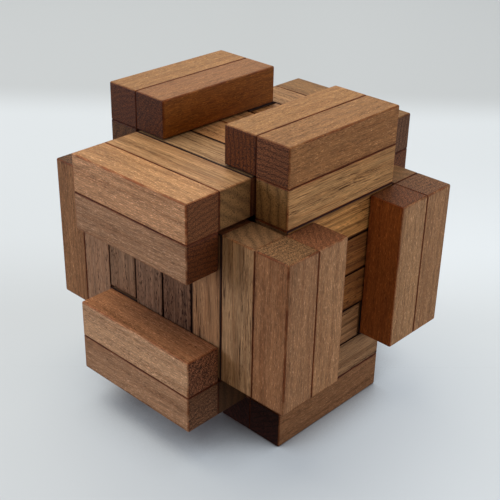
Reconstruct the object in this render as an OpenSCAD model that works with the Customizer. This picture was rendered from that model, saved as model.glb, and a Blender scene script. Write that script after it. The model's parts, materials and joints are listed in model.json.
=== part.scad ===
// Twelve-piece interlocking burr puzzle, glued up from square sticks.
//
// Every stick fills whole cells of an 8 x 8 x 8 lattice. Each of the twelve pieces shows a
// block of two face sticks on one side of the puzzle and slides out of that side. The key
// comes right out. Each other piece can slide one cell, until its lock tab meets the piece
// that has to come out before it.
//
// X runs from left to right, Y from front to back and Z upwards. The origin is in the middle
// of the base, on the surface that the puzzle stands on.

/* [Sticks] */
// Width and height of a square stick, which is also the lattice's pitch
stick_width = 10; // [6:0.5:20]
// Chamfer along the edges of every stick
edge = 0.25; // [0.1:0.05:0.6]
// Length taken off each end of the face sticks, shoulders and rails
end_trim = 0.4; // [0:0.1:1]

/* [Fits] */
// Gap between neighbouring pieces of the puzzle
fit = 0.3; // [0.1:0.05:0.6]
// Glue line between the sticks of one piece
glue = 0.04; // [0.02:0.01:0.1]

/* [Woods] */
// Colour of the face sticks
face_wood = "#a8714f";
// Colour of the shoulders
shoulder_wood = "#86694d";
// Colour of the rails
rail_wood = "#a5834f";
// Colour of the fingers
finger_wood = "#7d614a";
// Colour of the lock tabs
tab_wood = "#8c6f50";

/* [Hidden] */
// A bar is [sub-part, first cell, last cell]. Both patterns are laid out for the right side.
// A railed piece has a rail beside its shoulder and one finger.
RAILED = [
    ["face_pair", [7, 1, 2], [7, 1, 5]],
    ["face_pair", [7, 2, 2], [7, 2, 5]],
    ["shoulder", [6, 1, 2], [6, 1, 5]],
    ["rail", [5, 1, 2], [5, 1, 5]],
    ["fingers", [6, 2, 2], [6, 4, 2]],
    ["fingers", [6, 2, 3], [6, 2, 4]]
];

// A plain piece has no rail and two fingers.
PLAIN = [
    ["face_pair", [7, 5, 2], [7, 5, 5]],
    ["face_pair", [7, 6, 2], [7, 6, 5]],
    ["shoulder", [6, 6, 2], [6, 6, 5]],
    ["fingers", [6, 3, 3], [6, 5, 3]],
    ["fingers", [6, 3, 4], [6, 5, 4]],
    ["fingers", [6, 5, 2], [6, 5, 2]]
];

// A piece is [name, pattern, turns, flipped, cells of the lock tab's bars]. A turn takes the
// right side to the top, the top to the front and the front to the right. The flipped pieces
// are the other ones seen through the puzzle's centre.
PIECES = [
    ["key", RAILED, 0, false, [[[5, 2, 3], [5, 2, 4]]]],
    ["top_right", RAILED, 1, false, [[[4, 4, 4], [5, 4, 4]], [[5, 3, 5], [5, 4, 5]]]],
    ["front_upper", RAILED, 2, false, [[[3, 2, 5], [4, 2, 5]], [[3, 3, 4], [3, 3, 5]]]],
    ["right_back", PLAIN, 0, false,
        [[[5, 3, 3], [5, 3, 4]], [[4, 5, 4], [5, 5, 4]], [[4, 5, 5], [4, 5, 5]]]],
    ["top_left", PLAIN, 1, false,
        [[[2, 2, 2], [2, 2, 4]], [[2, 3, 4], [2, 3, 5]], [[4, 3, 5], [4, 3, 5]]]],
    ["front_lower", PLAIN, 2, false,
        [[[4, 3, 2], [5, 3, 2]], [[4, 2, 4], [4, 3, 4]], [[4, 2, 2], [4, 2, 2]]]],
    ["left_back", RAILED, 0, true,
        [[[3, 5, 3], [3, 5, 4]], [[2, 5, 3], [2, 5, 4]], [[3, 4, 4], [3, 4, 4]]]],
    ["base_left", RAILED, 1, true,
        [[[2, 3, 2], [2, 4, 2]], [[2, 4, 3], [3, 4, 3]], [[3, 2, 2], [3, 2, 2]]]],
    ["back_lower", RAILED, 2, true, [[[3, 5, 2], [4, 5, 2]], [[4, 4, 2], [4, 4, 3]]]],
    ["left_front", PLAIN, 0, true, [[[2, 3, 3], [4, 3, 3]], [[4, 2, 3], [4, 2, 3]]]],
    ["base_right", PLAIN, 1, true,
        [[[5, 4, 3], [5, 5, 3]], [[5, 4, 2], [5, 4, 2]], [[3, 3, 2], [3, 3, 2]]]],
    ["back_upper", PLAIN, 2, true, [[[2, 4, 5], [3, 4, 5]], [[3, 5, 5], [3, 5, 5]]]]
];

// Cells along each side of the lattice, counting from cell 0 to the face sticks' cells
CELLS = max(RAILED[0][1]) + 1;
// Half of the lattice's width
HALF = CELLS / 2 * stick_width;

// The sub-parts that a piece has
function sub_parts(piece) = piece[1] == RAILED
    ? ["face_pair", "shoulder", "rail", "fingers", "lock_tab"]
    : ["face_pair", "shoulder", "fingers", "lock_tab"];

// A cell turned about the lattice's long diagonal
function turned(cell, turns) = turns == 0
    ? cell
    : turned([CELLS - 1 - cell.y, CELLS - 1 - cell.z, cell.x], turns - 1);

// A cell seen through the lattice's centre
function flipped(cell, flip) = flip ? [for (i = cell) CELLS - 1 - i] : cell;

// A bar between two cells in any order
function bar(part, a, b) = [
    part,
    [for (i = [0:2]) min(a[i], b[i])],
    [for (i = [0:2]) max(a[i], b[i])]
];

// All the bars of a piece, where they lie in the puzzle
function bars(piece) = concat(
    [for (b = piece[1]) bar(
        b[0],
        flipped(turned(b[1], piece[2]), piece[3]),
        flipped(turned(b[2], piece[2]), piece[3])
    )],
    [for (cells = piece[4]) bar("lock_tab", cells[0], cells[1])]
);

// Whether a bar fills a cell
function fills(b, cell) = min([for (i = [0:2]) b[1][i] <= cell[i] && cell[i] <= b[2][i] ? 1 : 0]) == 1;

// The bar of a piece that fills a cell, or undef
function owner(all, cell) = [for (b = all) if (fills(b, cell)) b][0];

// The cells just past one side of a bar
function beyond(b, axis, side) = let (
    edge_cell = side > 0 ? b[2][axis] + 1 : b[1][axis] - 1,
    a = [for (i = [0:2]) i == axis ? edge_cell : b[1][i]],
    z = [for (i = [0:2]) i == axis ? edge_cell : b[2][i]]
) [for (i = [a.x:z.x]) for (j = [a.y:z.y]) for (k = [a.z:z.z]) [i, j, k]];

// Whether one side of a bar is glued all over to bars of its own piece
function glued(all, b, axis, side) =
    len([for (cell = beyond(b, axis, side)) if (owner(all, cell) == undef) cell]) == 0;

// How far one side of a bar stays inside its cells. A side that others rub against keeps half
// the fit, and a bar glued to such a side reaches across to it.
function inset(all, b, axis, side) = !glued(all, b, axis, side)
    ? fit / 2
    : glued(all, owner(all, beyond(b, axis, side)[0]), axis, -side)
        ? glue / 2
        : glue - fit / 2;

// Whether a bar is an outer stick whose ends are trimmed along this axis
function trim(b, axis) = (b[0] == "face_pair" || b[0] == "shoulder" || b[0] == "rail")
    && b[2][axis] > b[1][axis] ? end_trim : 0;

// A rectangle with chamfered corners
module eased_rectangle(w, h) {
    polygon([
        [edge, 0], [w - edge, 0], [w, edge], [w, h - edge],
        [w - edge, h], [edge, h], [0, h - edge], [0, edge]
    ]);
}

// A box with all twelve edges chamfered
module eased_box(size) {
    intersection() {
        linear_extrude(size.z) eased_rectangle(size.x, size.y);
        translate([0, size.y, 0]) rotate([90, 0, 0]) linear_extrude(size.y) eased_rectangle(size.x, size.z);
        rotate([90, 0, 90]) linear_extrude(size.x) eased_rectangle(size.y, size.z);
    }
}

// One stick of a piece, standing clear of the other pieces
module stick(all, b) {
    low = [for (i = [0:2]) b[1][i] * stick_width + inset(all, b, i, -1) + trim(b, i)];
    high = [for (i = [0:2]) (b[2][i] + 1) * stick_width - inset(all, b, i, 1) - trim(b, i)];
    translate([-HALF, -HALF, -fit / 2]) translate(low) eased_box(high - low);
}

// The sticks of a piece that belong to one sub-part
module sticks(piece, part) {
    all = bars(piece);
    for (b = all) {
        if (b[0] == part) stick(all, b);
    }
}

// The two sticks that show as a block on the outside
module face_pair(piece) {
    color(face_wood) sticks(piece, "face_pair");
}

// The stick under the outer face stick
module shoulder(piece) {
    color(shoulder_wood) sticks(piece, "shoulder");
}

// The stick beside the shoulder that lies across its neighbour's fingers
module rail(piece) {
    color(rail_wood) sticks(piece, "rail");
}

// The sticks across the channel between the blocks, and the short one under the inner face stick
module fingers(piece) {
    color(finger_wood) sticks(piece, "fingers");
}

// The bars that reach into the core and lock the piece
module lock_tab(piece) {
    color(tab_wood) sticks(piece, "lock_tab");
}

for (piece = PIECES) {
    face_pair(piece);
    shoulder(piece);
    rail(piece);
    fingers(piece);
    lock_tab(piece);
}
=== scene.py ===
"""The looks of a twelve-piece wooden burr puzzle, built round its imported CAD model."""
import json
import math
import random

import bmesh
import bpy
from mathutils import Matrix, Vector


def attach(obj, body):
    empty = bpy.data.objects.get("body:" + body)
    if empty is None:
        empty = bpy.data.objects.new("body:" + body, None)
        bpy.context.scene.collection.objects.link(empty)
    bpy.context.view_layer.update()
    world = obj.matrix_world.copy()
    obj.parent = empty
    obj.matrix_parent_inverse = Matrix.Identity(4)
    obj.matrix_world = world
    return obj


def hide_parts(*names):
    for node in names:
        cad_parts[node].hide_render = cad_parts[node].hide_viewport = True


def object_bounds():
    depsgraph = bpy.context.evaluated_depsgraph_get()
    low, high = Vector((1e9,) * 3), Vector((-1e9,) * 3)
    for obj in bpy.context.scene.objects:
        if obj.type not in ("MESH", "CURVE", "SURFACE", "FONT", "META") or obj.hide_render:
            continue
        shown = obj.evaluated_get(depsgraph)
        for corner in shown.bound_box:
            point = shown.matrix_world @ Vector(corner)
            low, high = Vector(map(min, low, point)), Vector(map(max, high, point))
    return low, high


MM = 0.001
SIDES = [(axis, side) for axis in range(3) for side in (-1, 1)]
LEFT = (0, -1)
RIGHT = (0, 1)
FRONT = (1, -1)
BOTTOM = (2, -1)
TOP = (2, 1)
SEED = 12
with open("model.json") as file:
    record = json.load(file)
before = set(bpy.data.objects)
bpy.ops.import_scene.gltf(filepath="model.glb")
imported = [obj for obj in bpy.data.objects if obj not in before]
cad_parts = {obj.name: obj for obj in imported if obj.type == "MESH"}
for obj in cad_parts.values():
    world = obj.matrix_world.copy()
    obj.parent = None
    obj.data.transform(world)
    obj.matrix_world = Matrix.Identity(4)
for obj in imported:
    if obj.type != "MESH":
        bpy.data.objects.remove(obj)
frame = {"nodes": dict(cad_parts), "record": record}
cad_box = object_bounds()


# ---------------------------------------------------------------- sticks of the CAD model

GLUED = 0.1 * MM          # two sticks of one piece closer than this are glued together
GLUED_SHARE = 0.5         # where they cover more than this share of a side
MEETING = 0.6 * MM        # a stick of another piece closer than this slides past
MEETING_SHARE = 0.1       # where such sticks cover more than this share of a side
WELD = 0.001 * MM         # corners closer than this are one
CUBE_SLACK = 1 * MM       # a stick that is no more than this longer than thick is a cube


class Stick:
    """One stick of a puzzle piece: its box, its piece and the part of it that it belongs to."""

    def __init__(self, body, node, low, high):
        self.node = node
        self.part = node[len(body) + 1:]
        self.low = low
        self.high = high
        self.name = node

    def size(self):
        return self.high - self.low

    def middle(self):
        return (self.low + self.high) / 2


def islands(mesh):
    """The lowest and highest corner of each separate solid in a mesh."""
    bm = bmesh.new()
    bm.from_mesh(mesh)
    bmesh.ops.remove_doubles(bm, verts=bm.verts, dist=WELD)
    left = set(bm.verts)
    boxes = []
    while left:
        todo = [left.pop()]
        corners = []
        while todo:
            vert = todo.pop()
            corners.append(vert.co.copy())
            for edge in vert.link_edges:
                other = edge.other_vert(vert)
                if other in left:
                    left.remove(other)
                    todo.append(other)
        low = Vector(min(c[i] for c in corners) for i in range(3))
        high = Vector(max(c[i] for c in corners) for i in range(3))
        boxes.append((low, high))
    bm.free()
    return sorted(boxes, key=lambda box: tuple(round(x / MM, 1) for x in box[0]))


def sticks_of(body, nodes):
    """All the sticks of one piece, numbered where a node holds several."""
    found = []
    for node in nodes:
        boxes = islands(frame["nodes"][node].data)
        for number, (low, high) in enumerate(boxes, 1):
            stick = Stick(body, node, low, high)
            if len(boxes) > 1:
                stick.name = f"{node}_{number}"
            found.append(stick)
    return found


def longest_side(stick):
    return max(range(3), key=lambda i: stick.size()[i])


def grain_axis(stick, piece):
    """The side that the grain runs along: the longest, or for a cube that of its face sticks."""
    axis = longest_side(stick)
    if stick.size()[axis] - min(stick.size()) < CUBE_SLACK:
        axis = longest_side(next(s for s in piece if s.part == "face_pair"))
    return axis


def covers(stick, other, axis, side, reach):
    """How much of one side of a stick, from 0 to 1, another stick within reach of it covers."""
    gap = other.low[axis] - stick.high[axis] if side > 0 else stick.low[axis] - other.high[axis]
    if abs(gap) > reach:
        return 0
    share = 1
    for i in range(3):
        if i != axis:
            shared = min(stick.high[i], other.high[i]) - max(stick.low[i], other.low[i])
            share *= max(0, shared) / stick.size()[i]
    return share


def covered_sides(stick, others, reach, least):
    """The sides of a stick, as (axis, side), of which the others cover at least this share."""
    others = [other for other in others if other is not stick]
    return {
        side for side in SIDES
        if sum(covers(stick, other, *side, reach) for other in others) > least
    }


# ---------------------------------------------------------------- meshes

SANDED = 0.04 * MM        # taken off a side that faces out
EASED = 0.03 * MM         # taken off a side that another piece slides past
SPLAY = 0.25 * MM         # taken off a finger's side that stands away from the next finger
FREE_EDGE = 0.42 * MM     # rounding of an edge that hands and sandpaper reach
GLUED_EDGE = 0.28 * MM    # easing of an edge that lies in a glue line
MET_EDGE = 0.12 * MM      # easing of an edge beside another piece
FLUSH_EDGE = 0.02 * MM    # easing of a glue line that is planed flush
EDGE_SEGMENTS = 3
CORNERS = [(x, y, z) for x in (0, 1) for y in (0, 1) for z in (0, 1)]
QUADS = [(0, 1, 3, 2), (4, 6, 7, 5), (0, 4, 5, 1), (2, 3, 7, 6), (0, 2, 6, 4), (1, 5, 7, 3)]


def inset(side, glued, met, splayed):
    """How far one side of a stick lies inside its CAD solid."""
    if side == splayed:
        return SPLAY
    if side in glued:
        return 0
    return EASED if side in met else SANDED


def edge_width(sides, glued, met, flush):
    """How wide the rounding is of the edge between two sides."""
    if sides & glued:
        return FLUSH_EDGE if sides & flush else GLUED_EDGE
    return MET_EDGE if sides & met else FREE_EDGE


def box_mesh(stick, glued, met, flush, splayed, lean):
    """The stick as a box whose edges carry the weights for round_edges(), leant by some degrees."""
    bm = bmesh.new()
    size = stick.size()
    low = [stick.low[i] + inset((i, -1), glued, met, splayed) for i in range(3)]
    high = [stick.high[i] - inset((i, 1), glued, met, splayed) for i in range(3)]
    verts = [bm.verts.new([high[i] if c[i] else low[i] for i in range(3)]) for c in CORNERS]
    for quad in QUADS:
        bm.faces.new([verts[i] for i in quad])
    weight = bm.edges.layers.float.new("bevel_weight_edge")
    for edge in bm.edges:
        # An edge's middle is off the stick's by about half its size along two axes.
        off = (edge.verts[0].co + edge.verts[1].co) / 2 - stick.middle()
        sides = {(i, int(math.copysign(1, off[i]))) for i in range(3) if abs(off[i]) > size[i] / 4}
        edge[weight] = edge_width(sides, glued, met, flush) / FREE_EDGE
    for axis, degrees in lean:
        turn = Matrix.Rotation(math.radians(degrees), 3, axis)
        bmesh.ops.rotate(bm, cent=stick.middle(), matrix=turn, verts=bm.verts)
    mesh = bpy.data.meshes.new(stick.name)
    bm.to_mesh(mesh)
    bm.free()
    return mesh


def round_edges(obj):
    """Rounds the edges of a box by their bevel weights, in the mesh itself."""
    bevel = obj.modifiers.new("edges", "BEVEL")
    bevel.limit_method = "WEIGHT"
    bevel.width = FREE_EDGE
    bevel.segments = EDGE_SEGMENTS
    bevel.harden_normals = True
    for polygon in obj.data.polygons:
        polygon.use_smooth = True
    graph = bpy.context.evaluated_depsgraph_get()
    mesh = bpy.data.meshes.new_from_object(obj.evaluated_get(graph))
    sharp = obj.data
    obj.modifiers.clear()
    obj.data = mesh
    bpy.data.meshes.remove(sharp)
    mesh.name = obj.name


# ---------------------------------------------------------------- where a stick lay in its tree

GRAIN_SLOPE = 1.2         # degrees at most between the stick and the grain
ALONG_LOG = 400           # mm at most from the middle of the log
FROM_PITH = (50, 110)     # mm
ASIDE = 20                # mm at most


def log_place(stick, axis, rng):
    """Matrix from a point of the stick to its place in the log, in mm, with X along the grain."""
    across = (axis + 1) % 3
    rows = [Vector(), Vector(), Vector()]
    rows[0][axis] = 1
    rows[1][across] = 1
    rows[2][(across + 1) % 3] = 1
    lay = Matrix(rows).to_4x4()
    slope = Matrix.Rotation(math.radians(rng.uniform(-GRAIN_SLOPE, GRAIN_SLOPE)), 4, "Z")
    slope @= Matrix.Rotation(math.radians(rng.uniform(-GRAIN_SLOPE, GRAIN_SLOPE)), 4, "Y")
    roll = Matrix.Rotation(rng.uniform(0, 2 * math.pi), 4, "X")
    shift = (rng.uniform(-ALONG_LOG, ALONG_LOG), rng.uniform(*FROM_PITH), rng.uniform(-ASIDE, ASIDE))
    in_mm = Matrix.Scale(1 / MM, 4) @ Matrix.Translation(-stick.middle())
    return Matrix.Translation(shift) @ roll @ slope @ lay @ in_mm


FLAT = 0.999              # the least that the normal of a flat side has along one axis
END_FROM = 0.75           # a face that turns this far towards the stick's end starts to be end grain
END_REACH = 3             # how much faster end grain's colour fades round an edge than a side's
MARKS = [("log", "FLOAT_VECTOR", "POINT"), ("figure", "FLOAT_VECTOR", "POINT"),
         ("place", "FLOAT_VECTOR", "POINT"), ("half", "FLOAT_VECTOR", "POINT"),
         ("tone", "FLOAT_VECTOR", "FACE"), ("end", "FLOAT", "FACE"),
         ("rim", "FLOAT", "FACE"), ("groove", "FLOAT", "FACE"), ("crevice", "FLOAT", "FACE")]


def mark_wood(obj, stick, axis, glued, met, tones, figure, worn, rng):
    """Writes what the wood materials read: place in the log, end grain, edges, painted shade beside
    other pieces, tone with painted light and shade on some sides, and figure.
    """
    mesh = obj.data
    for mark in MARKS:
        mesh.attributes.new(*mark)
    log, figures, places, halves, colors, ends, rims, grooves, gap_shades = (
        mesh.attributes[name].data for name, _, _ in MARKS)
    to_log = log_place(stick, axis, rng)
    for vert in mesh.vertices:
        log[vert.index].vector = to_log @ vert.co
        figures[vert.index].vector = figure
        places[vert.index].vector = (vert.co - stick.middle()) / MM
        halves[vert.index].vector = stick.size() / 2 / MM
    for face in mesh.polygons:
        normal = face.normal
        weights = {side: max(0, side[1] * normal[side[0]]) ** 2 for side in SIDES}
        for side in (-1, 1):
            weights[axis, side] **= END_REACH
        color = sum((Vector(tones[side]) * weights[side] for side in SIDES), Vector((0, 0, 0)))
        colors[face.index].vector = color / sum(weights.values())
        ends[face.index].value = max(0, (abs(normal[axis]) - END_FROM) / (1 - END_FROM))
        rims[face.index].value = 0 if max(abs(n) for n in normal) > FLAT else worn
        grooves[face.index].value = max((side[1] * normal[side[0]] for side in glued), default=0)
        # How far a face turns towards another piece, for the painted shade between pieces
        gap_shades[face.index].value = max((side[1] * normal[side[0]] for side in met), default=0)


# ---------------------------------------------------------------- woods

MIX_A = 6                 # the colour sockets of a Mix node
MIX_B = 7
MIX_RESULT = 2


class Graph:
    """A material's node tree, built with plain calls that return sockets."""

    def __init__(self, name):
        self.material = bpy.data.materials.new(name)
        self.material.use_nodes = True
        self.tree = self.material.node_tree
        self.shader = self.tree.nodes["Principled BSDF"]

    def node(self, kind, **settings):
        made = self.tree.nodes.new(kind)
        for key, value in settings.items():
            setattr(made, key, value)
        return made

    def feed(self, socket, value):
        """Links a socket to another, or sets it to a plain value."""
        if isinstance(value, bpy.types.NodeSocket):
            self.tree.links.new(value, socket)
        else:
            socket.default_value = value

    def attribute(self, name, output="Fac"):
        return self.node("ShaderNodeAttribute", attribute_name=name).outputs[output]

    def math(self, operation, a, b=0.0, c=0.0):
        made = self.node("ShaderNodeMath", operation=operation)
        for socket, value in zip(made.inputs, (a, b, c)):
            self.feed(socket, value)
        return made.outputs[0]

    def vector(self, operation, a, b):
        made = self.node("ShaderNodeVectorMath", operation=operation)
        self.feed(made.inputs[0], a)
        self.feed(made.inputs["Scale"] if operation == "SCALE" else made.inputs[1], b)
        return made.outputs[0]

    def parts(self, vector):
        made = self.node("ShaderNodeSeparateXYZ")
        self.feed(made.inputs[0], vector)
        return made.outputs

    def joined(self, x, y, z):
        made = self.node("ShaderNodeCombineXYZ")
        for socket, value in zip(made.inputs, (x, y, z)):
            self.feed(socket, value)
        return made.outputs[0]

    def noise(self, vector, along, across, detail=2.0, roughness=0.5):
        """Noise whose features are this many mm long along and across the grain."""
        made = self.node("ShaderNodeTexNoise")
        scaled = self.vector("MULTIPLY", vector, (1 / along, 1 / across, 1 / across))
        self.feed(made.inputs["Vector"], scaled)
        self.feed(made.inputs["Scale"], 1.0)
        self.feed(made.inputs["Detail"], detail)
        self.feed(made.inputs["Roughness"], roughness)
        return made.outputs["Fac"]

    def ramp(self, value, low, high, from_value=0.0, to_value=1.0):
        """Smooth step: from_value below low, to_value above high."""
        made = self.node("ShaderNodeMapRange", interpolation_type="SMOOTHSTEP")
        for name, number in zip(("Value", "From Min", "From Max", "To Min", "To Max"),
                                (value, low, high, from_value, to_value)):
            self.feed(made.inputs[name], number)
        return made.outputs[0]

    def mix(self, factor, a, b):
        """Colour a where factor is 0, and colour b where it is 1."""
        made = self.node("ShaderNodeMix", data_type="RGBA")
        self.feed(made.inputs["Factor"], factor)
        self.feed(made.inputs[MIX_A], a)
        self.feed(made.inputs[MIX_B], b)
        return made.outputs[MIX_RESULT]

    def tint(self, color, factor, tint):
        """The colour times a tint, as far as factor says."""
        made = self.node("ShaderNodeMix", data_type="RGBA", blend_type="MULTIPLY")
        self.feed(made.inputs["Factor"], factor)
        self.feed(made.inputs[MIX_A], color)
        self.feed(made.inputs[MIX_B], (*tint, 1))
        return made.outputs[MIX_RESULT]

    def shade(self, color, level):
        """The colour times a grey level, which may be above 1."""
        return self.vector("SCALE", color, level)


# The size of a mark is its length along and its width across the grain, in mm. The pairs of
# noise levels say where a mark starts and where it is full.
WANDER = 1.4              # mm that the grain bends aside
WANDER_SIZE = (22, 6)
WOBBLE = 5.0              # radians that a growth ring runs ahead or behind
WOBBLE_SIZE = (60, 5)
LATE_WOOD = (0.2, 1.0)    # the darker part of a ring, as levels of its wave
RING_LINE = (0.8, 1.0)    # the dark line of a ring on end grain
BANDED = (0.3, 0.7)
MOTTLED = (0.36, 0.64)
DARK_BAND = (0.0, -0.2)
COARSE = 0.6              # the noise roughness of bands and mottles
MARK_FADE = 0.08          # how far above its rarity a mark is full
GATHER_SIZE = (40, 1.6)   # pores and lines gather in streaks
GATHERED = (0.38, 0.62)
BETWEEN_STREAKS = 0.2     # how strongly pores show between the streaks
SPECKLE_SIZE = (0.6, 0.19)
DOTS = {"size": (2.0, 0.28), "rarity": 0.60}
WEAR_WIDTH = (0.15, 0.95)                   # mm from an edge
WEAR = {"size": (8, 3), "levels": (0.35, 0.65), "range": (0.1, 0.9)}
RIM = {"size": (6, 3), "levels": (0.4, 0.6), "range": (0.1, 0.8)}
GROOVE_TURN = (0.0, 0.4)                    # how far a face turns towards a glue line
GAP_SHADE_TURN = (0.1, 0.7)                   # the same, towards another piece, for the painted shade beside it
GAP_SHADE_WIDTH = (0.2, 0.8)                  # mm from an edge
ROUGHNESS = 0.55
PORE_ROUGHNESS = 0.2
SHINE = 0.18
BUMP_STRENGTH = 0.35
BUMP_HEIGHT = 0.08 * MM
MOTTLE_HEIGHT = 0.5
SPECKLE_HEIGHT = 0.3

DARK_BAND_TINT = (1.02, 0.94, 0.88)
FLECK_TINT = (1.6, 1.8, 2.1)
PORE_TINT = (0.16, 0.10, 0.08)
WEAR_TINT = (0.84, 0.70, 0.60)
RIM_TINT = (0.66, 0.48, 0.38)
GROOVE_TINT = (0.50, 0.31, 0.23)
# Near-black painted shade along the edges of a side beside another piece
GAP_SHADE_TINT = (0.09, 0.05, 0.04)


def wandering(g, log):
    """The place in the log, bent aside a little so that the grain wanders."""
    aside = g.math("MULTIPLY", g.noise(log, *WANDER_SIZE, detail=1), WANDER)
    return g.vector("ADD", log, g.joined(0.0, aside, aside))


def growth_rings(g, log, grain, pitch):
    """A wave from -1 to 1 across each growth ring about the pith, the log's X axis."""
    _, y, z = g.parts(grain)
    radius = g.node("ShaderNodeVectorMath", operation="LENGTH")
    g.feed(radius.inputs[0], g.joined(0.0, y, z))
    turns = g.math("MULTIPLY", radius.outputs["Value"], 2 * math.pi / pitch)
    wobble = g.math("MULTIPLY", g.noise(log, *WOBBLE_SIZE), WOBBLE)
    return g.math("SINE", g.math("ADD", turns, wobble))


def marks(g, place, kind, detail):
    """1 in each mark of a kind, and 0 between them."""
    noise = g.noise(place, *kind["size"], detail=detail)
    return g.ramp(noise, kind["rarity"], kind["rarity"] + MARK_FADE)


def patches(g, place, kind):
    """Soft patches between the two values of the kind's range."""
    return g.ramp(g.noise(place, *kind["size"], detail=2), *kind["levels"], *kind["range"])


def dark_marks(g, grain, pore, line, figure):
    """Pores and long dark lines, which gather in streaks."""
    pores = g.math("MULTIPLY", marks(g, grain, pore, detail=1), figure[1])
    pores = g.math("MULTIPLY", pores, pore["strength"])
    lines = g.math("MULTIPLY", marks(g, grain, line, detail=2), figure[2])
    lines = g.math("MULTIPLY", lines, line["strength"])
    streaks = g.ramp(g.noise(grain, *GATHER_SIZE, detail=1), *GATHERED, BETWEEN_STREAKS, 1.0)
    return g.math("MULTIPLY", g.math("MAXIMUM", pores, lines), streaks)


def side_color(g, grain, tone, side, mottles, rings, band, fleck, ring, figure):
    """Wood along the grain: bands, mottling, growth rings and pale flecks."""
    bands = g.noise(grain, *band["size"], detail=3, roughness=COARSE)
    bands = g.ramp(bands, *BANDED, -1.0, 1.0)
    bands = g.math("MULTIPLY", bands, g.math("MULTIPLY", figure[0], band["strength"]))
    level = g.math("ADD", g.math("ADD", bands, mottles), 1.0)
    late_wood = g.math("MULTIPLY_ADD", g.ramp(rings, *LATE_WOOD), -ring["strength"], 1.0)
    color = g.shade(tone, g.math("MULTIPLY", level, late_wood))
    color = g.tint(color, g.ramp(bands, *DARK_BAND), DARK_BAND_TINT)
    flecks = g.math("MULTIPLY", marks(g, grain, fleck, detail=1), side)
    return g.tint(color, g.math("MULTIPLY", flecks, fleck["strength"]), FLECK_TINT)


def end_color(g, log, tone, speckle, rings, cut, figure):
    """End grain: fibres and pores cut across, and fine rings."""
    color = g.shade(tone, speckle)
    color = g.shade(color, g.ramp(rings, -1.0, 1.0, 1.0 + cut["ring"], 1.0 - cut["ring"]))
    ring_lines = g.math("MULTIPLY", g.ramp(rings, *RING_LINE, 0.0, cut["line"]), figure[2])
    color = g.shade(color, g.math("SUBTRACT", 1.0, ring_lines))
    dots = g.math("MULTIPLY", marks(g, log, DOTS, detail=0), cut["pore"])
    return g.shade(color, g.math("SUBTRACT", 1.0, dots))


def nearest_edge(g):
    """How many mm a point of the surface lies from the nearest edge of its stick.

    That is the middle one of its distances from the nearer side along X, Y and Z.
    """
    place = g.node("ShaderNodeVectorMath", operation="ABSOLUTE")
    g.feed(place.inputs[0], g.attribute("place", "Vector"))
    x, y, z = g.parts(g.vector("SUBTRACT", g.attribute("half", "Vector"), place.outputs[0]))
    return g.math("MAXIMUM", g.math("MINIMUM", x, y), g.math("MINIMUM", g.math("MAXIMUM", x, y), z))


def edge_color(g, log, color):
    """Hands darken the wood beside an edge, here more and there less. Glue lines are brown. Beside
    another piece the edge gets a near-black painted shade, where shade falls between the pieces.
    """
    to_edge = nearest_edge(g)
    wear = g.math("MULTIPLY", g.ramp(to_edge, *WEAR_WIDTH, 1.0, 0.0), patches(g, log, WEAR))
    color = g.tint(color, wear, WEAR_TINT)
    color = g.tint(color, g.math("MULTIPLY", g.attribute("rim"), patches(g, log, RIM)), RIM_TINT)
    color = g.tint(color, g.ramp(g.attribute("groove"), *GROOVE_TURN), GROOVE_TINT)
    # Painted shade between pieces: near black along the edges of a side that faces another piece
    crevice = g.ramp(g.attribute("crevice"), *GAP_SHADE_TURN)
    crevice = g.math("MULTIPLY", g.ramp(to_edge, *GAP_SHADE_WIDTH, 1.0, 0.0), crevice)
    return g.tint(color, crevice, GAP_SHADE_TINT)


def wood(name, band, mottle, fleck, pore, line, ring, cut):
    """A hardwood whose grain follows the log attribute. The figure attribute scales its marks."""
    g = Graph(name)
    log = g.attribute("log", "Vector")
    tone = g.attribute("tone", "Vector")
    figure = g.parts(g.attribute("figure", "Vector"))
    end = g.attribute("end")
    side = g.math("SUBTRACT", 1.0, end)
    grain = wandering(g, log)
    rings = growth_rings(g, log, grain, ring["pitch"])
    mottles = g.noise(grain, *mottle["size"], detail=2, roughness=COARSE)
    mottles = g.ramp(mottles, *MOTTLED, -mottle["strength"], mottle["strength"])
    pores = dark_marks(g, grain, pore, line, figure)
    speckle = g.ramp(g.noise(log, *SPECKLE_SIZE, detail=0), *MOTTLED, -1.0, 1.0)
    speckle = g.math("MULTIPLY_ADD", speckle, g.math("MULTIPLY", figure[1], cut["speckle"]), 1.0)

    along = side_color(g, grain, tone, side, mottles, rings, band, fleck, ring, figure)
    across = end_color(g, log, tone, speckle, rings, cut, figure)
    color = g.mix(end, along, across)
    color = g.tint(color, g.math("MULTIPLY", pores, side), PORE_TINT)
    g.feed(g.shader.inputs["Base Color"], edge_color(g, log, color))
    g.feed(g.shader.inputs["Roughness"], g.math("MULTIPLY_ADD", pores, PORE_ROUGHNESS, ROUGHNESS))
    g.feed(g.shader.inputs["Specular IOR Level"], SHINE)

    height = g.math("MULTIPLY_ADD", pores, -1.0, g.math("MULTIPLY", mottles, MOTTLE_HEIGHT))
    speckled = g.math("MULTIPLY", g.math("MULTIPLY", speckle, end), SPECKLE_HEIGHT)
    bump = g.node("ShaderNodeBump")
    g.feed(bump.inputs["Strength"], BUMP_STRENGTH)
    g.feed(bump.inputs["Distance"], BUMP_HEIGHT)
    g.feed(bump.inputs["Height"], g.math("ADD", height, speckled))
    g.feed(g.shader.inputs["Normal"], bump.outputs[0])
    return g.material


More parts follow.
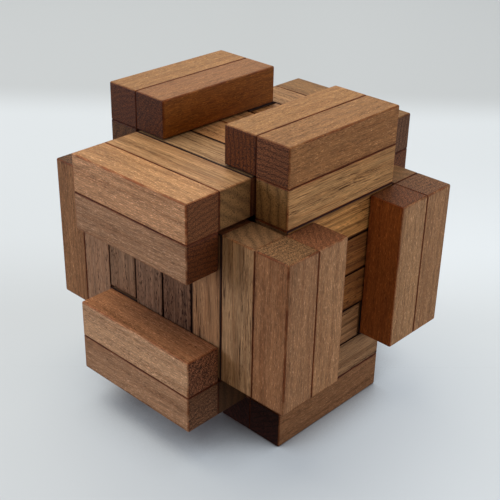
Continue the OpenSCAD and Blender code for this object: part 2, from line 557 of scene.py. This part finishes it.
RED_WOOD = wood(
    "red_wood",
    band={"size": (40, 1.4), "strength": 0.20},
    mottle={"size": (2.6, 0.16), "strength": 0.26},
    fleck={"size": (0.8, 0.18), "rarity": 0.60, "strength": 1.0},
    pore={"size": (0.9, 0.18), "rarity": 0.59, "strength": 0.70},
    line={"size": (12.0, 0.17), "rarity": 0.58, "strength": 0.45},
    ring={"pitch": 1.3, "strength": 0.06},
    cut={"speckle": 0.80, "ring": 0.10, "line": 0.60, "pore": 0.45},
)
WALNUT = wood(
    "walnut",
    band={"size": (60, 1.2), "strength": 0.26},
    mottle={"size": (9.0, 0.16), "strength": 0.24},
    fleck={"size": (1.6, 0.17), "rarity": 0.60, "strength": 0.40},
    pore={"size": (1.5, 0.21), "rarity": 0.56, "strength": 0.95},
    line={"size": (12.0, 0.22), "rarity": 0.58, "strength": 1.0},
    ring={"pitch": 2.6, "strength": 0.14},
    cut={"speckle": 0.45, "ring": 0.14, "line": 0.15, "pore": 0.50},
)

# Colours of the outer sticks
COPPER = (0.40, 0.200, 0.084)
PECAN = (0.425, 0.212, 0.090)
FOX = (0.37, 0.180, 0.077)
AMBER = (0.43, 0.225, 0.096)
SALMON = (0.42, 0.190, 0.085)
BRICK = (0.33, 0.147, 0.060)
ROSE = (0.38, 0.200, 0.100)
BLUSH = (0.53, 0.298, 0.153)
PEACH = (0.53, 0.270, 0.126)
CHESTNUT = (0.29, 0.130, 0.050)
TOBACCO = (0.33, 0.165, 0.060)
BUFF = (0.355, 0.178, 0.064)
HONEY = (0.305, 0.147, 0.052)
LODEN = (0.235, 0.119, 0.041)
GINGER = (0.37, 0.160, 0.050)
# The next two are painted shade, for sides that lie in a neighbouring block's shade
SIENNA = (0.25, 0.082, 0.010)
OXBLOOD = (0.33, 0.095, 0.020)
FACE_TONES = [COPPER, AMBER, BRICK, CHESTNUT]

# Colours of the inner sticks
STRAW = (0.63, 0.330, 0.116)
GOLD = (0.55, 0.255, 0.070)
OLIVE = (0.36, 0.195, 0.084)
MOSS = (0.34, 0.178, 0.075)
CLAY = (0.38, 0.230, 0.113)
SAND = (0.42, 0.235, 0.108)
DOVE = (0.37, 0.200, 0.106)
DRAB = (0.29, 0.158, 0.082)
TAUPE = (0.26, 0.140, 0.076)
MOUSE = (0.21, 0.104, 0.054)
RUST = (0.29, 0.108, 0.026)
TAWNY = (0.34, 0.165, 0.062)
FAWN = (0.41, 0.207, 0.090)
INNER_TONES = [SAND, OLIVE, DRAB, MOUSE]

# Colours of end grain. The darkest two are painted shade, for ends that lie in deep shade under the
# overhang.
NUTMEG = (0.22, 0.115, 0.052)
COCOA = (0.23, 0.088, 0.039)
CLOVE = (0.205, 0.074, 0.025)
HAZEL = (0.18, 0.080, 0.036)
UMBER = (0.175, 0.060, 0.021)
MAROON = (0.13, 0.035, 0.008)
PLUM = (0.105, 0.030, 0.009)
SHADOW_BLACK = (0.040, 0.010, 0.005)
BARK = (0.116, 0.048, 0.016)
SHADOW_BROWN = (0.070, 0.030, 0.010)
WINE = (0.092, 0.025, 0.005)
GARNET = (0.12, 0.031, 0.004)
KHAKI = (0.28, 0.141, 0.046)
DUN = (0.22, 0.116, 0.053)
OUTER_ENDS = [UMBER, MAROON, COCOA]
INNER_ENDS = [DUN, UMBER]

# The colours of sticks that show in the main view. The others draw theirs from the lists above.
TONES = {
    "key_face_pair_1": BRICK,
    "key_face_pair_2": PECAN,
    "key_shoulder": SAND,
    "key_rail": FAWN,
    "key_fingers_2": TAWNY,
    "top_right_face_pair_1": BUFF,
    "top_right_face_pair_2": HONEY,
    "top_right_shoulder": STRAW,
    "top_right_rail": GOLD,
    "front_upper_face_pair_1": COPPER,
    "front_upper_face_pair_2": AMBER,
    "front_upper_shoulder": SAND,
    "front_upper_rail": CLAY,
    "front_upper_fingers_1": DRAB,
    "right_back_face_pair_1": COPPER,
    "right_back_face_pair_2": AMBER,
    "right_back_fingers_1": RUST,
    "right_back_fingers_2": RUST,
    "top_left_face_pair_1": TOBACCO,
    "top_left_face_pair_2": CHESTNUT,
    "top_left_fingers_1": AMBER,
    "top_left_fingers_2": AMBER,
    "top_right_fingers_1": TAWNY,
    "front_lower_face_pair_1": BRICK,
    "front_lower_face_pair_2": SALMON,
    "front_lower_fingers_2": TAUPE,
    "front_lower_fingers_3": MOUSE,
    "left_front_face_pair_1": CHESTNUT,
    "left_front_shoulder": DOVE,
    "base_right_face_pair_2": CHESTNUT,
    "base_right_shoulder": MOSS,
    "back_upper_face_pair_1": LODEN,
    "back_upper_shoulder": OLIVE,
}
# The same for their ends. The near-black ends of base_right and the dark end of front_lower_shoulder
# are painted shade, where they lie under the overhang.
END_TONES = {
    "key_face_pair_1": NUTMEG,
    "key_face_pair_2": COCOA,
    "key_shoulder": DUN,
    "top_right_face_pair_1": GARNET,
    "top_right_face_pair_2": UMBER,
    "top_right_shoulder": KHAKI,
    "front_upper_face_pair_1": MAROON,
    "front_upper_face_pair_2": CLOVE,
    "front_upper_shoulder": KHAKI,
    "front_lower_face_pair_1": HAZEL,
    "front_lower_face_pair_2": COCOA,
    "front_lower_shoulder": SHADOW_BROWN,
    "right_back_face_pair_1": HAZEL,
    "right_back_face_pair_2": UMBER,
    "left_front_face_pair_1": BARK,
    "right_back_shoulder": NUTMEG,
    "top_left_face_pair_1": PLUM,
    "top_left_face_pair_2": WINE,
    "top_left_shoulder": BARK,
    "base_right_face_pair_1": SHADOW_BLACK,
    "base_right_face_pair_2": SHADOW_BLACK,
    "back_upper_face_pair_1": HAZEL,
    "back_upper_face_pair_2": UMBER,
}
# A side of a stick can show another colour than the rest of it. Each holds the wood's tone together
# with painted light and shade for how that side is lit; the deep red sides that face a neighbouring
# block are painted shade.
SIDE_TONES_WITH_PAINTED_LIGHT = {
    ("right_back_face_pair_2", FRONT): OXBLOOD,
    ("top_left_face_pair_2", RIGHT): SIENNA,
    ("top_right_face_pair_2", RIGHT): GINGER,
    ("key_face_pair_1", RIGHT): FOX,
    ("front_upper_face_pair_1", FRONT): ROSE,
    ("front_upper_face_pair_2", FRONT): PEACH,
    ("front_lower_face_pair_1", FRONT): ROSE,
    ("front_lower_face_pair_2", FRONT): BLUSH,
}
# The glue lines that are planed flush at an end of the piece
FLUSH_ENDS = {"key_shoulder": TOP, "key_face_pair_1": TOP, "key_face_pair_2": TOP}
# Two pairs of fingers that stand apart: the side that faces the gap, and the degrees that each leans
SPLAYED = {
    "front_lower_fingers_2": (RIGHT, [("Y", 0.25)]),
    "front_lower_fingers_3": (LEFT, [("Y", -0.25)]),
    "right_back_fingers_1": (TOP, [("X", -0.3)]),
    "right_back_fingers_2": (BOTTOM, [("X", 0.3)]),
}
# How strongly bands, pores or speckles, and long dark lines or ring lines show
USUAL_FIGURE = [(0.7, 1.2), (0.5, 1.1), (0.3, 1.0)]
FIGURES = {
    "key_face_pair_1": (1.0, 0.7, 0.4),
    "key_face_pair_2": (0.8, 0.7, 0.3),
    "top_right_face_pair_1": (0.7, 1.0, 0.8),
    "top_right_face_pair_2": (0.7, 1.0, 0.8),
    "top_right_shoulder": (0.8, 0.5, 2.0),
    "top_right_rail": (1.6, 0.5, 1.0),
    "right_back_face_pair_1": (0.8, 0.8, 0.2),
    "right_back_face_pair_2": (0.8, 0.8, 0.2),
    "top_left_face_pair_1": (0.7, 0.7, 0.2),
    "top_left_face_pair_2": (0.6, 0.7, 0.2),
    "front_upper_shoulder": (1.0, 0.3, 0.8),
    "front_upper_rail": (1.0, 0.4, 1.0),
    "front_upper_fingers_1": (0.6, 1.3, 0.2),
    "front_lower_face_pair_2": (0.7, 1.1, 0.6),
    "front_lower_fingers_2": (1.4, 2.0, 0.4),
    "front_lower_fingers_3": (1.6, 2.3, 0.5),
    "left_front_shoulder": (0.5, 0.9, 0.2),
    "key_shoulder": (1.0, 0.5, 1.3),
    "key_rail": (1.4, 0.4, 2.0),
    "key_fingers_2": (1.5, 0.6, 1.0),
    "right_back_fingers_1": (1.2, 0.8, 0.5),
    "right_back_fingers_2": (1.2, 0.8, 0.8),
    "base_right_shoulder": (1.2, 1.0, 0.8),
}

# Sticks whose rounded edges are darker than the usual 1
WORN = {"front_upper_face_pair_2": 3, "key_face_pair_1": 2}


# ---------------------------------------------------------------- pieces


def side_tones(stick, axis, outer, rng):
    """The colour of each side of a stick, by (axis, side), with painted light and shade on some
    sides.
    """
    tone = rng.choice(FACE_TONES if outer else INNER_TONES)
    tone = TONES.get(stick.name, tone)
    end = rng.choice(OUTER_ENDS if outer else INNER_ENDS)
    end = END_TONES.get(stick.name, end)
    tones = {(i, side): end if i == axis else tone for i in range(3) for side in (-1, 1)}
    for side in tones:
        tones[side] = SIDE_TONES_WITH_PAINTED_LIGHT.get((stick.name, side), tones[side])
    return tones


def dress(body, piece, others):
    """Builds all the sticks of one piece over its CAD nodes. The others are other pieces' sticks."""
    for stick in piece:
        rng = random.Random(f"{SEED} {stick.name}")
        axis = grain_axis(stick, piece)
        glued = covered_sides(stick, piece, GLUED, GLUED_SHARE)
        met = covered_sides(stick, others, MEETING, MEETING_SHARE)
        # Fingers are rounded at their ends as if nothing met them there, and get no painted shade
        # there.
        if stick.part == "fingers":
            met -= {(axis, -1), (axis, 1)}
        flush = {FLUSH_ENDS[stick.name]} if stick.name in FLUSH_ENDS else set()
        splayed, lean = SPLAYED.get(stick.name, (None, []))
        if splayed:
            glued -= {splayed}
            met |= {splayed}
        outer = stick.part == "face_pair"
        tones = side_tones(stick, axis, outer, rng)
        figure = [rng.uniform(*span) for span in USUAL_FIGURE]
        figure = FIGURES.get(stick.name, figure)
        mesh = box_mesh(stick, glued, met, flush, splayed, lean)
        obj = bpy.data.objects.new(stick.name + "_stick", mesh)
        bpy.context.scene.collection.objects.link(obj)
        round_edges(obj)
        mark_wood(obj, stick, axis, glued, met, tones, figure, WORN.get(stick.name, 1), rng)
        obj.data.materials.append(RED_WOOD if outer else WALNUT)
        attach(obj, body)
        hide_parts(stick.node)


pieces = {
    body: sticks_of(body, nodes)
    for body, nodes in frame["record"]["behaviour"]["bodies"].items()
}
for body, piece in pieces.items():
    dress(body, piece, [stick for name in pieces if name != body for stick in pieces[name]])


# ---------------------------------------------------------------- stage

AZIMUTH = math.radians(43.14)
ELEVATION = math.radians(28.06)
ROLL = math.radians(1.25)
CAMERA_PLACE = Vector((0.1594, -0.1694, 0.1608))
SENSOR = 36               # mm
LENS = 72.9               # mm

FLOOR_REACH = 30                            # m
OPEN_FLOOR = (0.31, 0.325, 0.33, 1)         # as the camera sees it
SHADED_FLOOR = (0.31, 0.295, 0.285, 1)      # the same, close under the puzzle
LIGHTING_FLOOR = (0.42, 0.42, 0.42, 1)      # as the wood is lit by it
FLOOR_ROUGHNESS = 0.8
FLOOR_GLOW = (0.91, 1.0, 1.08, 1)
# How far back, or to the right, of the puzzle's middle the glow changes, and from what to what
BRIGHTENS = (20 * MM, 80 * MM, 0.37, 0.45)
DARKENS = (190 * MM, 235 * MM, 1.0, 0.62)
PALER_RIGHT = (0, 55 * MM)
PALER_BACK = (40 * MM, 160 * MM, 0.26, 0.05)
CONTACT_SHADOW_REACH = 16 * MM
CONTACT_SHADOW_LEVELS = (0.3, 0.88)
CONTACT_SHADOW_SAMPLES = 8


def distance_along(g, direction):
    """How far a point of the floor lies from the puzzle's middle in one direction."""
    made = g.node("ShaderNodeVectorMath", operation="DOT_PRODUCT")
    g.feed(made.inputs[0], g.node("ShaderNodeTexCoord").outputs["Object"])
    g.feed(made.inputs[1], direction)
    return made.outputs["Value"]


def floor_paint():
    """The floor's material, which glows for the camera alone, and less close under the puzzle: a
    painted shadow there, where the camera also sees a warmer floor colour.
    """
    g = Graph("floor")
    back = distance_along(g, (-math.sin(AZIMUTH), math.cos(AZIMUTH), 0))
    right = distance_along(g, (math.cos(AZIMUTH), math.sin(AZIMUTH), 0))
    glow = g.math("MULTIPLY", g.ramp(back, *BRIGHTENS), g.ramp(back, *DARKENS))
    paler = g.math("MULTIPLY", g.ramp(right, *PALER_RIGHT), g.ramp(back, *PALER_BACK))
    glow = g.math("MULTIPLY", glow, g.math("ADD", 1.0, paler))
    # Painted shadow: the floor's glow fades and warms where ambient occlusion finds the puzzle near
    contact_shadow = g.node("ShaderNodeAmbientOcclusion", samples=CONTACT_SHADOW_SAMPLES)
    g.feed(contact_shadow.inputs["Distance"], CONTACT_SHADOW_REACH)
    contact_shadow = g.ramp(contact_shadow.outputs["AO"], *CONTACT_SHADOW_LEVELS)
    glow = g.math("MULTIPLY", glow, contact_shadow)
    seen = g.node("ShaderNodeLightPath").outputs["Is Camera Ray"]
    paint = g.mix(contact_shadow, SHADED_FLOOR, OPEN_FLOOR)
    g.feed(g.shader.inputs["Base Color"], g.mix(seen, LIGHTING_FLOOR, paint))
    g.feed(g.shader.inputs["Roughness"], FLOOR_ROUGHNESS)
    g.feed(g.shader.inputs["Specular IOR Level"], 0.0)
    g.feed(g.shader.inputs["Emission Color"], FLOOR_GLOW)
    g.feed(g.shader.inputs["Emission Strength"], g.math("MULTIPLY", glow, seen))
    return g.material


def make_floor():
    """A pale floor that keeps the puzzle's shadow and grows darker in a soft line far behind it."""
    bm = bmesh.new()
    bmesh.ops.create_grid(bm, x_segments=1, y_segments=1, size=FLOOR_REACH)
    mesh = bpy.data.meshes.new("floor")
    bm.to_mesh(mesh)
    bm.free()
    floor = bpy.data.objects.new("floor", mesh)
    bpy.context.scene.collection.objects.link(floor)
    floor.data.materials.append(floor_paint())


LAMP_DISTANCE = 0.7       # m
LAMP_POWER = 4            # watts per square metre of lamp for each step of brightness


def panel(name, azimuth, elevation, width, height, brightness, color):
    """A flat lamp that looks at the puzzle. Azimuth 0 is in front, and 90 on the right."""
    a = math.radians(azimuth)
    e = math.radians(elevation)
    centre = (cad_box[0] + cad_box[1]) / 2
    toward = Vector((math.sin(a) * math.cos(e), -math.cos(a) * math.cos(e), math.sin(e)))
    data = bpy.data.lights.new(name, "AREA")
    data.shape = "RECTANGLE"
    data.size = width
    data.size_y = height
    data.energy = brightness * LAMP_POWER * width * height
    data.color = color
    lamp = bpy.data.objects.new(name, data)
    lamp.location = centre + toward * LAMP_DISTANCE
    lamp.rotation_euler = toward.to_track_quat("Z", "Y").to_euler()
    bpy.context.scene.collection.objects.link(lamp)


def make_world(color, strength, seen_color, seen_strength):
    """Weak light from all round. Past the floor's end the camera sees it in a floor-like colour."""
    world = bpy.data.worlds.new("studio")
    world.use_nodes = True
    nodes = world.node_tree.nodes
    links = world.node_tree.links
    light = nodes["Background"]
    light.inputs["Color"].default_value = (*color, 1)
    light.inputs["Strength"].default_value = strength
    seen = nodes.new("ShaderNodeBackground")
    seen.inputs["Color"].default_value = (*seen_color, 1)
    seen.inputs["Strength"].default_value = seen_strength
    mix = nodes.new("ShaderNodeMixShader")
    path = nodes.new("ShaderNodeLightPath")
    links.new(path.outputs["Is Camera Ray"], mix.inputs["Fac"])
    links.new(light.outputs[0], mix.inputs[1])
    links.new(seen.outputs[0], mix.inputs[2])
    links.new(mix.outputs[0], nodes["World Output"].inputs["Surface"])
    bpy.context.scene.world = world


WARM = (1.0, 0.93, 0.80)
NEUTRAL = (1.0, 0.99, 0.96)
COOL = (0.93, 1.04, 1.33)

make_floor()
make_world(
    color=(1.0, 0.88, 0.76), strength=0.20, seen_color=(0.93, 1.0, 1.04), seen_strength=0.62)
panel("overhead", azimuth=270, elevation=72, width=0.62, height=0.62, brightness=2.85, color=WARM)
panel("left_window", azimuth=315, elevation=12, width=0.55, height=0.24, brightness=3.2, color=COOL)
panel("right_window", azimuth=112, elevation=12, width=0.9, height=0.24, brightness=1.85, color=COOL)
panel("back", azimuth=225, elevation=32, width=0.5, height=0.3, brightness=1.4, color=NEUTRAL)


# ---------------------------------------------------------------- camera

def make_camera():
    """The camera at the height, distance and angle that the puzzle is seen from."""
    back = Vector((
        math.sin(AZIMUTH) * math.cos(ELEVATION),
        -math.cos(AZIMUTH) * math.cos(ELEVATION),
        math.sin(ELEVATION),
    ))
    right = Vector((0, 0, 1)).cross(back).normalized()
    up = back.cross(right)
    turn = Matrix((right, up, back)).transposed().to_4x4()
    data = bpy.data.cameras.new("camera")
    data.sensor_width = SENSOR
    data.lens = LENS
    camera = bpy.data.objects.new("camera", data)
    camera.matrix_world = Matrix.Translation(CAMERA_PLACE) @ turn @ Matrix.Rotation(ROLL, 4, "Z")
    bpy.context.scene.collection.objects.link(camera)
    bpy.context.scene.camera = camera


make_camera()
bpy.context.scene.view_settings.view_transform = "Standard"
